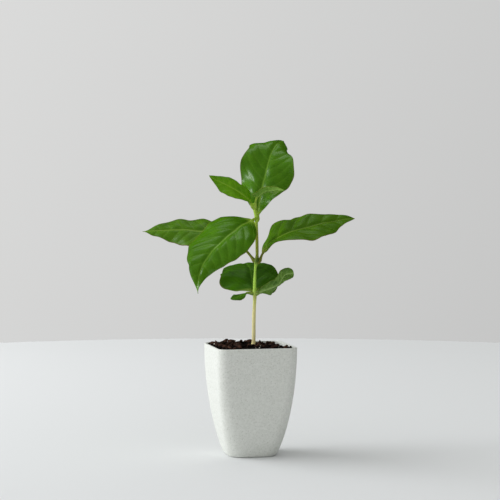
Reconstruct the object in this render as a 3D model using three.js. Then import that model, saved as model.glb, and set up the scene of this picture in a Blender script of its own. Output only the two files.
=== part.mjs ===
// A coffee seedling in a small moulded pot: nine leaves in four tiers on one slim stem.
// Millimetres, +Z up. The origin is the centre of the pot's flat underside, and the pot's
// walls face along X and Y. The plant is drawn in a frame of its own, turned in the pot.
import * as THREE from 'three';

const DEGREE = Math.PI / 180;
const UP = new THREE.Vector3(0, 0, 1);
const CLEARANCE = 0.3;

// Pot: a rounded square that swells from a narrow foot to a nearly straight mouth
const POT_HEIGHT = 77.5;
const POT_MOUTH = 57.5;
const POT_FOOT = 34.0;
const POT_SWELL = 0.82;
const POT_CORNER = 9.0;
const POT_CORNER_STEPS = 7;
const POT_WALL = 1.8;
const POT_FLOOR = 3.0;
const POT_LEVELS = [4.5, 7, 10, 15, 21, 28, 36, 45, 55, 66];
const LIP_ROUND = 0.6;
const FOOT_ROUND = 0.8;

// Potting mix: level with the lip in the middle, lower at the wall, lumpy between
const SOIL_LEVEL = POT_HEIGHT - 0.6;
const SOIL_EDGE = POT_HEIGHT - 2.0;
const SOIL_HEAP = 1.0;
const SOIL_LUMP = 0.45;
const SOIL_RINGS = [0.93, 0.82, 0.7, 0.58, 0.46, 0.34, 0.24];
const COLLAR_RADIUS = 4.0;

// Stem: heights above its flat cut on the soil, lean along the plant frame's X
const PLANT_TURN = -13 * DEGREE;
const STEM_FOOT = SOIL_LEVEL + CLEARANCE;
const STEM_LEAN = 2.6;
const STEM_SIDES = 10;
const STEM_STEPS = 44;
const STEM_STATIONS = [
  { height: 0, lean: STEM_LEAN, radius: 2.1 },
  { height: 2, lean: STEM_LEAN, radius: 1.5 },
  { height: 8, lean: 2.65, radius: 1.3 },
  { height: 20, lean: 2.75, radius: 1.25 },
  { height: 34, lean: 3.35, radius: 1.3 },
  { height: 37, lean: 3.4, radius: 1.55 },
  { height: 40, lean: 3.3, radius: 1.2 },
  { height: 47, lean: 3.1, radius: 1.1 },
  { height: 57.5, lean: 4.6, radius: 1.15 },
  { height: 60.4, lean: 4.9, radius: 1.5 },
  { height: 63.5, lean: 5.05, radius: 1.1 },
  { height: 74, lean: 5.15, radius: 1.0 },
  { height: 87, lean: 4.8, radius: 1.0 },
  { height: 89.8, lean: 4.6, radius: 1.25 },
  { height: 92.5, lean: 4.15, radius: 0.9 },
  { height: 97.5, lean: 3.2, radius: 0.95 },
  { height: 99.5, lean: 3.1, radius: 0.8 },
  { height: 101.5, lean: 3.1, radius: 0.3 },
];

// Where each tier of leaves leaves the stem: lean and height, and the start of its stalks
const TIERS = {
  first: { lean: 3.4, height: 37.1, reach: 2.4 },
  second: { lean: 4.9, height: 60.5, reach: 2.3 },
  third: { lean: 4.65, height: 89.8, reach: 2.1 },
  top: { lean: 3.15, height: 98.6, reach: 1.8 },
};

// Leaves: angles in degrees. heading turns from the plant's +X towards its +Y, pitch is above
// the horizontal and roll lifts the left half. Each list runs evenly from the stalk to the tip.
// fold and cup bend the blade across, skew widens its left half, and wave ripples the margins.
const LEAVES = [
  {
    name: 'leaf_first_back', tier: 'first', stalk: 2.0, length: 51, width: 43,
    heading: [96, 103, 118], pitch: [36, 42, 9, -38], roll: [0, -6],
    fold: 0.00, cup: -0.21, skew: 0.02, baseTaper: 0.40, tipTaper: 0.64,
    wave: 0.11, waves: 2.5, phase: [1.8, 2.1],
  },
  {
    name: 'leaf_first_right', tier: 'first', stalk: 1.6, length: 29, width: 14,
    heading: [-26, 18, -13], pitch: [30, 29, 43, 1], roll: [-29, -52],
    fold: 0.22, cup: -0.18, skew: 0.02, baseTaper: 0.54, tipTaper: 0.37,
    wave: 0.00, waves: 3.3, phase: [4.4, 2.7],
  },
  {
    name: 'leaf_first_left', tier: 'first', stalk: 4.1, length: 15, width: 9,
    heading: [197, 224, 191], pitch: [17, -11, -18, -16], roll: [13, -31],
    fold: 0.09, cup: -0.23, skew: -0.01, baseTaper: 0.86, tipTaper: 0.93,
    wave: 0.10, waves: 1.5, phase: [5.6, 3.3],
  },
  {
    name: 'leaf_second_left', tier: 'second', stalk: 14.0, length: 75, width: 29,
    heading: [161, 169, 168], pitch: [55, 19, 0, -9], roll: [-41, -52],
    fold: 0.05, cup: -0.15, skew: 0.03, baseTaper: 0.77, tipTaper: 1.24,
    wave: 0.14, waves: 1.5, phase: [4.6, 2.8],
  },
  {
    name: 'leaf_second_right', tier: 'second', stalk: 11.0, length: 72, width: 27,
    heading: [33, 14, -23], pitch: [76, 23, 8, 8], roll: [35, 37],
    fold: 0.12, cup: -0.25, skew: -0.02, baseTaper: 0.92, tipTaper: 0.87,
    wave: 0.05, waves: 2.7, phase: [3.2, 1.0],
  },
  {
    name: 'leaf_third_front', tier: 'third', stalk: 3.5, length: 78, width: 39,
    heading: [-118, -147, -103], pitch: [1, -34, -47, -84], roll: [-21, -34],
    fold: 0.08, cup: -0.25, skew: -0.07, baseTaper: 0.87, tipTaper: 1.43,
    wave: 0.02, waves: 3.0, phase: [3.3, 5.3],
  },
  {
    name: 'leaf_third_back', tier: 'third', stalk: 4.2, length: 68, width: 39,
    heading: [42, 71, 60], pitch: [85, 62, 59, 2], roll: [8, 29],
    fold: 0.18, cup: -0.23, skew: 0.01, baseTaper: 1.00, tipTaper: 1.03,
    wave: 0.18, waves: 1.9, phase: [0.8, 5.6],
  },
  {
    name: 'leaf_top_left', tier: 'top', young: true, stalk: 2.3, length: 37, width: 15,
    heading: [227, 181, 186], pitch: [60, 34, 26, 37], roll: [-43, -54],
    fold: 0.25, cup: -0.09, skew: 0.08, baseTaper: 0.61, tipTaper: 0.84,
    wave: 0.09, waves: 1.6, phase: [4.8, 2.1],
  },
  {
    name: 'leaf_top_right', tier: 'top', young: true, stalk: 7.9, length: 27, width: 10,
    heading: [-71, -48, -23], pitch: [92, 23, 9, -4], roll: [10, -58],
    fold: 0.16, cup: -0.13, skew: -0.02, baseTaper: 0.64, tipTaper: 1.08,
    wave: 0.03, waves: 3.0, phase: [2.6, 0.9],
  },
];
const MIDRIB_STEPS = 60;
const STALK_STATIONS = 4;
const BLADE_STATIONS = 16;
const STALK_RADIUS = 0.85;
const RIB_TIP_RADIUS = 0.3;
const THICKNESS_RATIO = 0.013;
const LEAST_THICKNESS = 0.55;
const MARGIN_THICKNESS = 0.65;
const ACROSS = [-1, -0.7, -0.35, 0, 0.35, 0.7, 1];

const MATERIALS = {
  pot: { color: '#d9dad5', roughness: 0.6, metalness: 0 },
  soil: { color: '#2b1d15', roughness: 0.95, metalness: 0 },
  stem: { color: '#9aa24e', roughness: 0.5, metalness: 0 },
  leaf: { color: '#42701a', roughness: 0.35, metalness: 0 },
  young_leaf: { color: '#5f9427', roughness: 0.35, metalness: 0 },
};

// Volume enclosed by an indexed mesh: positive when its faces point outwards
function enclosedVolume(points, index) {
  const cross = new THREE.Vector3();
  let volume = 0;
  for (let i = 0; i < index.length; i += 3) {
    cross.crossVectors(points[index[i + 1]], points[index[i + 2]]);
    volume += points[index[i]].dot(cross) / 6;
  }
  return volume;
}

// A closed skin over rings of equal count, with a fan from the middle of each end ring
function loft(rings) {
  const sides = rings[0].length;
  const middle = (ring) => ring.reduce((sum, p) => sum.add(p), new THREE.Vector3()).divideScalar(sides);
  const points = rings.flat();
  points.push(middle(rings[0]), middle(rings[rings.length - 1]));
  const lastRing = (rings.length - 1) * sides;
  const index = [];
  for (let k = 0; k < sides; k += 1) {
    const next = (k + 1) % sides;
    for (let start = 0; start < lastRing; start += sides) {
      index.push(start + k, start + next, start + sides + next);
      index.push(start + k, start + sides + next, start + sides + k);
    }
    index.push(points.length - 2, next, k);
    index.push(points.length - 1, lastRing + k, lastRing + next);
  }
  if (enclosedVolume(points, index) < 0) index.reverse();
  const geometry = new THREE.BufferGeometry().setFromPoints(points);
  geometry.setIndex(index);
  return geometry;
}

function solid(name, finish, geometry) {
  geometry.computeVertexNormals();
  const mesh = new THREE.Mesh(geometry, new THREE.MeshStandardMaterial(MATERIALS[finish]));
  mesh.name = name;
  return mesh;
}

// A square of the given side at height z, with its corners rounded
function roundedSquare(side, corner, z) {
  const ring = [];
  for (let quarter = 0; quarter < 4; quarter += 1) {
    const middle = (45 + 90 * quarter) * DEGREE;
    const reach = Math.SQRT2 * (side / 2 - corner);
    for (let step = 0; step <= POT_CORNER_STEPS; step += 1) {
      const angle = 90 * (quarter + step / POT_CORNER_STEPS) * DEGREE;
      ring.push(new THREE.Vector3(
        reach * Math.cos(middle) + corner * Math.cos(angle),
        reach * Math.sin(middle) + corner * Math.sin(angle),
        z,
      ));
    }
  }
  return ring;
}

// The pot's outer width at height z
function potSide(z) {
  const down = 1 - z / POT_HEIGHT;
  return POT_FOOT + (POT_MOUTH - POT_FOOT) * (1 - down * down) ** POT_SWELL;
}

// The pot's outline at height z, moved in by inset
function potRing(z, inset) {
  return roundedSquare(potSide(z) - 2 * inset, POT_CORNER - inset, z);
}

function buildPot() {
  const shoulder = POT_HEIGHT - LIP_ROUND;
  const outside = [
    potRing(0, FOOT_ROUND),
    potRing(FOOT_ROUND / 3, FOOT_ROUND / 4),
    potRing(FOOT_ROUND * 1.2, 0),
    ...POT_LEVELS.map((z) => potRing(z, 0)),
    potRing(shoulder, 0),
  ];
  const lip = [
    potRing(POT_HEIGHT - LIP_ROUND / 4, LIP_ROUND / 4),
    potRing(POT_HEIGHT, LIP_ROUND),
    potRing(POT_HEIGHT, POT_WALL - LIP_ROUND),
    potRing(POT_HEIGHT - LIP_ROUND / 4, POT_WALL - LIP_ROUND / 4),
  ];
  const inside = [
    potRing(shoulder, POT_WALL),
    ...POT_LEVELS.map((z) => potRing(z, POT_WALL)).reverse(),
    potRing(POT_FLOOR, POT_WALL),
  ];
  return solid('pot', 'pot', loft([...outside, ...lip, ...inside]));
}

// Height of the potting mix over a point, where out is 0 at the stem and 1 at the wall
function soilHeight(x, y, out) {
  const heap = SOIL_HEAP * Math.sin(Math.PI * out) * (1 - 0.4 * Math.sin(0.07 * x + 0.05 * y));
  const lumps = Math.sin(0.55 * x + 1.3) * Math.cos(0.48 * y) + 0.6 * Math.sin(1.1 * x - 0.7 * y + 2);
  const settled = SOIL_LEVEL + (SOIL_EDGE - SOIL_LEVEL) * out ** 4;
  return settled + heap + SOIL_LUMP * lumps * Math.sin(Math.PI * out);
}

function buildSoil() {
  const inset = POT_WALL + CLEARANCE;
  const sides = [
    potRing(POT_FLOOR + CLEARANCE, inset),
    ...POT_LEVELS.map((z) => potRing(z, inset)),
    potRing(SOIL_EDGE, inset),
  ];
  const rim = sides[sides.length - 1];
  const foot = new THREE.Vector3(STEM_LEAN, 0, SOIL_LEVEL).applyAxisAngle(UP, PLANT_TURN);
  const top = SOIL_RINGS.map((out) => rim.map((edge) => {
    const point = foot.clone().lerp(edge, out);
    point.z = soilHeight(point.x, point.y, out);
    return point;
  }));
  const collar = rim.map((edge) => {
    const outward = edge.clone().sub(foot).setZ(0).setLength(COLLAR_RADIUS);
    return foot.clone().add(outward);
  });
  return solid('soil', 'soil', loft([...sides, ...top, collar]));
}

function buildStem() {
  const path = new THREE.CatmullRomCurve3(
    STEM_STATIONS.map((s) => new THREE.Vector3(s.lean, s.radius, s.height)),
    false,
    'centripetal',
  );
  const rings = path.getPoints(STEM_STEPS).map((station) => {
    const ring = [];
    for (let k = 0; k < STEM_SIDES; k += 1) {
      const angle = (2 * Math.PI * k) / STEM_SIDES;
      ring.push(new THREE.Vector3(
        station.x + station.y * Math.cos(angle),
        station.y * Math.sin(angle),
        STEM_FOOT + station.z,
      ));
    }
    return ring;
  });
  return solid('stem', 'stem', loft(rings));
}

// A smooth curve through evenly spaced values, where t runs from 0 to 1
function along(values, t) {
  const spans = values.length - 1;
  const at = Math.min(Math.max(t, 0), 1) * spans;
  const i = Math.min(Math.floor(at), spans - 1);
  const f = at - i;
  const before = i > 0 ? values[i - 1] : 2 * values[0] - values[1];
  const after = i + 2 <= spans ? values[i + 2] : 2 * values[spans] - values[spans - 1];
  const [a, b] = [values[i], values[i + 1]];
  const slope = b - before;
  const bend = 2 * before - 5 * a + 4 * b - after;
  const twist = 3 * a - before - 3 * b + after;
  return 0.5 * (2 * a + slope * f + bend * f * f + twist * f * f * f);
}

// The way a leaf's midrib points at t from the stalk's start to the tip
function midribDirection(leaf, t) {
  const pitch = along(leaf.pitch, t) * DEGREE;
  const heading = along(leaf.heading, t) * DEGREE;
  return new THREE.Vector3(
    Math.cos(pitch) * Math.cos(heading),
    Math.cos(pitch) * Math.sin(heading),
    Math.sin(pitch),
  );
}

// Points along a leaf's stalk and midrib, found by adding up its direction in short steps
function midribPath(leaf) {
  const tier = TIERS[leaf.tier];
  const start = leaf.heading[0] * DEGREE;
  const point = new THREE.Vector3(
    tier.lean + tier.reach * Math.cos(start),
    tier.reach * Math.sin(start),
    STEM_FOOT + tier.height,
  );
  const step = (leaf.stalk + leaf.length) / MIDRIB_STEPS;
  const path = [point.clone()];
  for (let i = 0; i < MIDRIB_STEPS; i += 1) {
    const here = midribDirection(leaf, i / MIDRIB_STEPS);
    const ahead = midribDirection(leaf, (i + 1) / MIDRIB_STEPS);
    point.addScaledVector(here.add(ahead), step / 2);
    path.push(point.clone());
  }
  return path;
}

// The point, left and up directions of a leaf at t along its whole length
function leafFrame(leaf, path, t, bladeT) {
  const at = Math.min(t * MIDRIB_STEPS, MIDRIB_STEPS - 1e-9);
  const i = Math.floor(at);
  const point = path[i].clone().lerp(path[i + 1], at - i);
  const forward = midribDirection(leaf, t);
  const heading = along(leaf.heading, t) * DEGREE;
  const left = new THREE.Vector3(-Math.sin(heading), Math.cos(heading), 0);
  const up = forward.clone().cross(left);
  const roll = along(leaf.roll, bladeT) * DEGREE;
  return { point, left: left.applyAxisAngle(forward, roll), up: up.applyAxisAngle(forward, roll) };
}

// Half width of the blade as a share of its widest, at t from its base to its tip
function bladeOutline(leaf, t) {
  const widest = leaf.baseTaper / (leaf.baseTaper + leaf.tipTaper);
  return (t / widest) ** leaf.baseTaper * ((1 - t) / (1 - widest)) ** leaf.tipTaper;
}

// One section through the stalk: a small flattened round
function stalkSection(frame, radius) {
  const half = (v) => radius * Math.max(Math.sqrt(1 - v * v), 0.3);
  const place = (v, lift) => frame.point.clone()
    .addScaledVector(frame.left, radius * v)
    .addScaledVector(frame.up, lift);
  return [
    ...ACROSS.map((v) => place(v, half(v))),
    ...ACROSS.toReversed().map((v) => place(v, -half(v))),
  ];
}

// One section through the blade: folded, cupped and rippled, thickest on the midrib
function bladeSection(leaf, frame, t) {
  const outline = bladeOutline(leaf, t);
  const rib = STALK_RADIUS + (RIB_TIP_RADIUS - STALK_RADIUS) * t;
  const halfWidth = Math.max((leaf.width / 2) * outline, rib);
  const thickness = Math.max(leaf.length * THICKNESS_RATIO, LEAST_THICKNESS);
  const ripple = leaf.wave * (leaf.width / 2) * Math.sqrt(outline);
  const surface = (v) => {
    const phase = v > 0 ? leaf.phase[0] : leaf.phase[0] + leaf.phase[1];
    const bend = halfWidth * (leaf.fold * Math.abs(v) + leaf.cup * v * v);
    return bend + ripple * v * v * Math.sin(2 * Math.PI * leaf.waves * t + phase);
  };
  const half = (v) => {
    const blade = (thickness / 2) * (1 + (MARGIN_THICKNESS - 1) * Math.abs(v));
    return v === 0 ? Math.max(blade, rib * 0.8 * (1 - t) + blade * t) : blade;
  };
  const place = (v, lift) => frame.point.clone()
    .addScaledVector(frame.left, halfWidth * v * (1 + leaf.skew * Math.sign(v)))
    .addScaledVector(frame.up, surface(v) + lift);
  return [
    ...ACROSS.map((v) => place(v, half(v))),
    ...ACROSS.toReversed().map((v) => place(v, -half(v))),
  ];
}

function buildLeaf(leaf) {
  const path = midribPath(leaf);
  const whole = leaf.stalk + leaf.length;
  const rings = [];
  for (let i = 0; i < STALK_STATIONS; i += 1) {
    const t = (leaf.stalk / whole) * (i / STALK_STATIONS);
    const swell = i === 0 ? 0.7 : 1;
    rings.push(stalkSection(leafFrame(leaf, path, t, 0), STALK_RADIUS * swell));
  }
  for (let i = 0; i <= BLADE_STATIONS; i += 1) {
    const bladeT = (1 - Math.cos((Math.PI * i) / BLADE_STATIONS)) / 2;
    const t = (leaf.stalk + bladeT * leaf.length) / whole;
    rings.push(bladeSection(leaf, leafFrame(leaf, path, t, bladeT), bladeT));
  }
  return solid(leaf.name, leaf.young ? 'young_leaf' : 'leaf', loft(rings));
}

const plant = new THREE.Group();
plant.rotation.z = PLANT_TURN;
plant.add(buildStem());
LEAVES.forEach((leaf) => plant.add(buildLeaf(leaf)));

const group = new THREE.Group();
group.add(buildPot(), buildSoil(), plant);
group.updateMatrixWorld(true);

export default group;
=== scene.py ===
"""A coffee seedling in a small moulded pot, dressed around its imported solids.

Sizes are real millimetres and become metres when a mesh is made. The plant is worked out in a
frame of its own, with X to the viewer's right and Y away, and is turned in the pot at the end.
"""

import logging
import math
from collections.abc import Mapping, Sequence
from dataclasses import dataclass, field
from enum import Enum

import bpy
import numpy as np
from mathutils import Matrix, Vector


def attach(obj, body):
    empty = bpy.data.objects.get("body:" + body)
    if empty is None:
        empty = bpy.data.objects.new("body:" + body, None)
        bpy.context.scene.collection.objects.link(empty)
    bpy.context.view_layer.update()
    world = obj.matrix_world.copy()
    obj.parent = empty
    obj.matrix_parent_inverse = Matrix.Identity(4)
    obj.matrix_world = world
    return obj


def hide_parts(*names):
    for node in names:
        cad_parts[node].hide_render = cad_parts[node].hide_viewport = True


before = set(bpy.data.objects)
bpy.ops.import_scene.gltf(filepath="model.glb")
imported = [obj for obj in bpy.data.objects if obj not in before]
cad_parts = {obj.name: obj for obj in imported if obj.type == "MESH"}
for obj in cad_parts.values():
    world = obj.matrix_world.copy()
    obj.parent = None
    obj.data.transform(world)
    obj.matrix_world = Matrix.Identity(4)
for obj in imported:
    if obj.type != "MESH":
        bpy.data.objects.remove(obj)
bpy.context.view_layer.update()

LOG = logging.getLogger("seedling")
MM = 0.001
BODY = "root"
PLANT_TURN = math.radians(-13.0)
CROWDING = 0.45
GROUND_WAVES = 9
GROUND_SPREAD = (0.6, 1.6)
TINY = 1e-6

Link = bpy.types.NodeSocket
Value = float | tuple[float, ...] | Link


# Small tools for meshes and shaders


def linear(colour: str) -> tuple[float, float, float, float]:
    """Turn an sRGB hex colour into linear light, by the curve of the sRGB standard.

    Args:
        colour: The colour, such as "#42701a".

    Returns:
        Linear red, green and blue, and an alpha of 1.
    """
    shares = np.array([int(colour[i:i + 2], 16) for i in (1, 3, 5)]) / 255
    low, high = shares / 12.92, ((shares + 0.055) / 1.055) ** 2.4
    return (*np.where(shares <= 0.04045, low, high).tolist(), 1.0)


def add_node(
    tree: bpy.types.NodeTree,
    kind: str,
    inputs: Mapping[str | int, Value] | None = None,
    **settings: object,
) -> bpy.types.Node:
    """Add one shader node.

    Args:
        tree: The node tree it goes into.
        kind: The node's type name without its ShaderNode prefix.
        inputs: Values or sockets to link, by the name or number of the input.
        settings: The node's own properties by name.

    Returns:
        The new node.
    """
    node = tree.nodes.new("ShaderNode" + kind)
    for name, value in settings.items():
        setattr(node, name, value)
    for name, value in (inputs or {}).items():
        if isinstance(value, Link):
            tree.links.new(value, node.inputs[name])
        else:
            node.inputs[name].default_value = value
    return node


def per_metre(millimetres: float) -> float:
    """The texture scale that makes one pattern cell this many millimetres wide."""
    return 1.0 / (millimetres * MM)


def smooth(low: float, high: float, x: np.ndarray) -> np.ndarray:
    """Ease from 0 at low to 1 at high: 3 q squared minus 2 q cubed of the share q between them."""
    q = np.clip((x - low) / (high - low), 0.0, 1.0)
    return q * q * (3 - 2 * q)


def bell(x: np.ndarray, width: float | np.ndarray) -> np.ndarray:
    """A bell curve, 1 at x = 0: e to the minus (x / width) squared."""
    return np.exp(-((x / width) ** 2))


def crowded(u: np.ndarray) -> np.ndarray:
    """Draw even places towards the whole numbers: u less CROWDING times sin(2 pi u) / (2 pi)."""
    return u - CROWDING * np.sin(2 * np.pi * u) / (2 * np.pi)


def cubic(
    q: np.ndarray, a: np.ndarray, b: np.ndarray, leave: np.ndarray, arrive: np.ndarray,
) -> np.ndarray:
    """A curve from a to b with a given slope at each end.

    It is a, plus (b - a) times 3 q squared minus 2 q cubed, plus the first slope times
    q (1 - q) squared, less the last slope times q squared (1 - q).

    Args:
        q: How far along it is read, from 0 to 1.
        a: The value at 0.
        b: The value at 1.
        leave: The slope at 0.
        arrive: The slope at 1.

    Returns:
        The value at each q.
    """
    ease = q * q * (3 - 2 * q)
    return a + (b - a) * ease + leave * q * (1 - q) ** 2 - arrive * q * q * (1 - q)


def along(values: Sequence[float], t: np.ndarray) -> np.ndarray:
    """A smooth curve through evenly spaced values: uniform Catmull-Rom with straight ends.

    Args:
        values: What the curve goes through, evenly spaced from t = 0 to t = 1.
        t: Where to read it.

    Returns:
        The curve's value at each t.
    """
    known = np.asarray(values, float)
    padded = np.concatenate([[2 * known[0] - known[1]], known, [2 * known[-1] - known[-2]]])
    at = np.clip(t, 0, 1) * (len(known) - 1)
    i = np.minimum(at.astype(int), len(known) - 2)
    f = at - i
    before, a, b, after = (padded[i + k] for k in range(4))
    bend = 2 * before - 5 * a + 4 * b - after
    twist = 3 * a - before - 3 * b + after
    return 0.5 * (2 * a + (b - before) * f + bend * f**2 + twist * f**3)


def wandering(x: np.ndarray, y: np.ndarray, size: float, seed: int) -> np.ndarray:
    """Gentle random ground, about -1 to 1 high.

    It is a sum of sine waves in seeded directions over the root of their number, each with the
    wavelength that size times a draw from GROUND_SPREAD gives.

    Args:
        x: One coordinate, in millimetres.
        y: The other coordinate, in millimetres.
        size: About the wavelength, in millimetres.
        seed: Which ground it is.

    Returns:
        The height at each point.
    """
    draw = np.random.default_rng(seed)
    angle, phase = draw.uniform(0, 2 * np.pi, (2, GROUND_WAVES))
    pace = 2 * np.pi / (size * draw.uniform(*GROUND_SPREAD, GROUND_WAVES))
    far = x[..., None] * np.cos(angle) + y[..., None] * np.sin(angle)
    return np.sin(far * pace + phase).sum(-1) / math.sqrt(GROUND_WAVES)


def turned(points: np.ndarray) -> np.ndarray:
    """Turn points of the plant's own frame about Z to where the plant stands in the pot."""
    c, s = math.cos(PLANT_TURN), math.sin(PLANT_TURN)
    return points @ np.array([[c, s, 0.0], [-s, c, 0.0], [0.0, 0.0, 1.0]])


@dataclass
class Skin:
    """A closed surface: points in millimetres, faces, and what its finishes read from it.

    layers holds one value for each point, plan its place on the flattened piece, and
    quad_finish says which finish each quad has.
    """

    points: np.ndarray
    quads: np.ndarray
    triangles: np.ndarray
    layers: dict[str, np.ndarray] = field(default_factory=dict)
    plan: np.ndarray | None = None
    quad_finish: np.ndarray | None = None
    rounded: bool = True

    def facing_out(self) -> "Skin":
        """Turn every face round if the enclosed volume, a sum of corner products, is negative.

        Returns:
            This skin.
        """
        p = self.points - self.points.mean(0)
        halves = [self.quads[:, [0, 1, 2]], self.quads[:, [0, 2, 3]], self.triangles]
        a, b, c = (p[np.concatenate(halves)[:, k]] for k in range(3))
        if np.einsum("ij,ij->i", a, np.cross(b, c)).sum() < 0:
            self.quads, self.triangles = self.quads[:, ::-1], self.triangles[:, ::-1]
        return self

    def to_piece(
        self,
        name: str,
        finishes: "Sequence[Finish]",
        slot: str,
        stands_for: Sequence[str] = (),
    ) -> bpy.types.Object:
        """Put the skin into a mesh that rides on the plant's one body.

        Args:
            name: The piece's name.
            finishes: Its finishes, in the order that quad_finish counts them.
            slot: The record's material slot; not used.
            stands_for: The CAD nodes that it replaces.

        Returns:
            The piece.
        """
        mesh = bpy.data.meshes.new(name)
        faces = self.quads.tolist() + self.triangles.tolist()
        mesh.from_pydata((self.points * MM).tolist(), [], faces)
        for finish in finishes:
            mesh.materials.append(finish.material())
        if self.quad_finish is not None:
            numbers = np.zeros(len(faces), np.int32)
            numbers[:len(self.quads)] = self.quad_finish
            mesh.polygons.foreach_set("material_index", numbers)
        for layer, values in self.layers.items():
            made = mesh.attributes.new(layer, "FLOAT", "POINT")
            made.data.foreach_set("value", values.astype(np.float32))
        if self.plan is not None:
            corners = np.empty(len(mesh.loops), np.int32)
            mesh.loops.foreach_get("vertex_index", corners)
            plan = (self.plan[corners] * MM).astype(np.float32)
            mesh.uv_layers.new(name="plan").data.foreach_set("uv", plan.ravel())
        if self.rounded:
            mesh.shade_smooth()
        piece = bpy.data.objects.new(name, mesh)
        bpy.context.scene.collection.objects.link(piece)
        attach(piece, BODY)
        if stands_for:
            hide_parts(*stands_for)
        LOG.info("%s: %d points, %d faces", name, len(self.points), len(faces))
        return piece


def loft(rings: np.ndarray) -> Skin:
    """Close a skin over rings of equal count, with a fan from the middle of each end ring.

    Args:
        rings: Points by ring and by place round the ring.

    Returns:
        The closed skin. Its last two points are the middles of the first and last ring.
    """
    count, sides = rings.shape[:2]
    first = np.arange(count * sides).reshape(count, sides)
    after = np.roll(first, -1, axis=1)
    quads = np.stack([first[:-1], after[:-1], after[1:], first[1:]], -1).reshape(-1, 4)
    foot, top = count * sides, count * sides + 1
    low = np.stack([np.full(sides, foot), after[0], first[0]], -1)
    high = np.stack([np.full(sides, top), first[-1], after[-1]], -1)
    ends = rings[[0, -1]].mean(1)
    points = np.concatenate([rings.reshape(-1, 3), ends])
    return Skin(points, quads, np.concatenate([low, high])).facing_out()


def with_ends(values: np.ndarray) -> np.ndarray:
    """Values by ring and place, in the order of loft's points, with a mean for each end."""
    return np.concatenate([values.reshape(-1, *values.shape[2:]), values[[0, -1]].mean(1)])


# Finishes


@dataclass(frozen=True)
class Finish:
    """A material, named for what it really is, with one shader that each kind draws on.

    Plastic, wax and plant matter all have an IOR near 1.5, and shine is the specular level.
    """

    name: str
    roughness: float
    ior: float = 1.5
    shine: float = 0.5

    def material(self) -> bpy.types.Material:
        """The finished material, drawn the first time that it is asked for.

        Returns:
            Blender's material of this name.
        """
        known = bpy.data.materials.get(self.name)
        if known is not None:
            return known
        made = bpy.data.materials.new(self.name)
        made.use_nodes = True
        shader = made.node_tree.nodes["Principled BSDF"]
        shader.inputs["IOR"].default_value = self.ior
        shader.inputs["Roughness"].default_value = self.roughness
        shader.inputs["Specular IOR Level"].default_value = self.shine
        self.draw(made.node_tree, shader)
        return made

    def draw(self, tree: bpy.types.NodeTree, shader: bpy.types.Node) -> None:
        """Draw the pattern of the real material; each kind of finish has its own.

        Args:
            tree: The material's node tree.
            shader: Its one shader.
        """
        raise NotImplementedError


@dataclass(frozen=True)
class Fleck:
    """One size of fleck, with one fleck in each cell of so many millimetres.

    reach is the largest radius as a share of the cell, and strength how much of the fleck's
    own colour its middle has.
    """

    cell: float
    reach: float
    strength: float
    colour: str


@dataclass(frozen=True)
class MouldedFibre(Finish):
    """Plant fibre and resin pressed in a polished mould: satin off-white with grey-green flecks.

    The eye sees an even eggshell sheen, a faint cloudiness of about two millimetres, and
    hundreds of flecks from a third of a millimetre to a millimetre long. The real grain is
    finer than can show, so it is drawn at nearly half a millimetre.
    """

    body: str = "#ebede8"
    cloud: str = "#cdd0c8"
    cloud_size: float = 1.7
    flecks: tuple[Fleck, ...] = (
        Fleck(0.8, 0.5, 0.45, "#8b9084"),
        Fleck(1.3, 0.42, 0.5, "#8b9084"),
        Fleck(2.9, 0.2, 0.5, "#a0957e"),
    )
    grain: float = 0.45
    grain_depth: float = 0.05

    def draw(self, tree: bpy.types.NodeTree, shader: bpy.types.Node) -> None:
        """Draw clouds under three sizes of flecks, and press a fine grain into the surface.

        Args:
            tree: The material's node tree.
            shader: Its one shader.
        """
        place = add_node(tree, "TexCoord").outputs["Object"]
        cloud = add_node(tree, "TexNoise", {
            "Vector": place, "Scale": per_metre(self.cloud_size), "Detail": 3.0,
        })
        colour = add_node(tree, "MixRGB", {
            "Fac": cloud.outputs["Fac"], "Color1": linear(self.body), "Color2": linear(self.cloud),
        }).outputs["Color"]
        for fleck in self.flecks:
            cell = add_node(tree, "TexVoronoi", {"Vector": place, "Scale": per_metre(fleck.cell)})
            lot = add_node(tree, "SeparateColor", {0: cell.outputs["Color"]}).outputs[0]
            edge = add_node(tree, "Math", {0: lot, 1: fleck.reach}, operation="MULTIPLY")
            inside = add_node(tree, "MapRange", {
                "Value": cell.outputs["Distance"], "From Min": 0.0, "From Max": edge.outputs[0],
                "To Min": fleck.strength, "To Max": 0.0,
            })
            colour = add_node(tree, "MixRGB", {
                "Fac": inside.outputs[0], "Color1": colour, "Color2": linear(fleck.colour),
            }).outputs["Color"]
        tree.links.new(colour, shader.inputs["Base Color"])
        grain = add_node(tree, "TexNoise", {
            "Vector": place, "Scale": per_metre(self.grain), "Detail": 2.0,
        })
        bump = add_node(tree, "Bump", {
            "Height": grain.outputs["Fac"], "Strength": 0.12, "Distance": self.grain_depth * MM,
        })
        tree.links.new(bump.outputs["Normal"], shader.inputs["Normal"])


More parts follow.
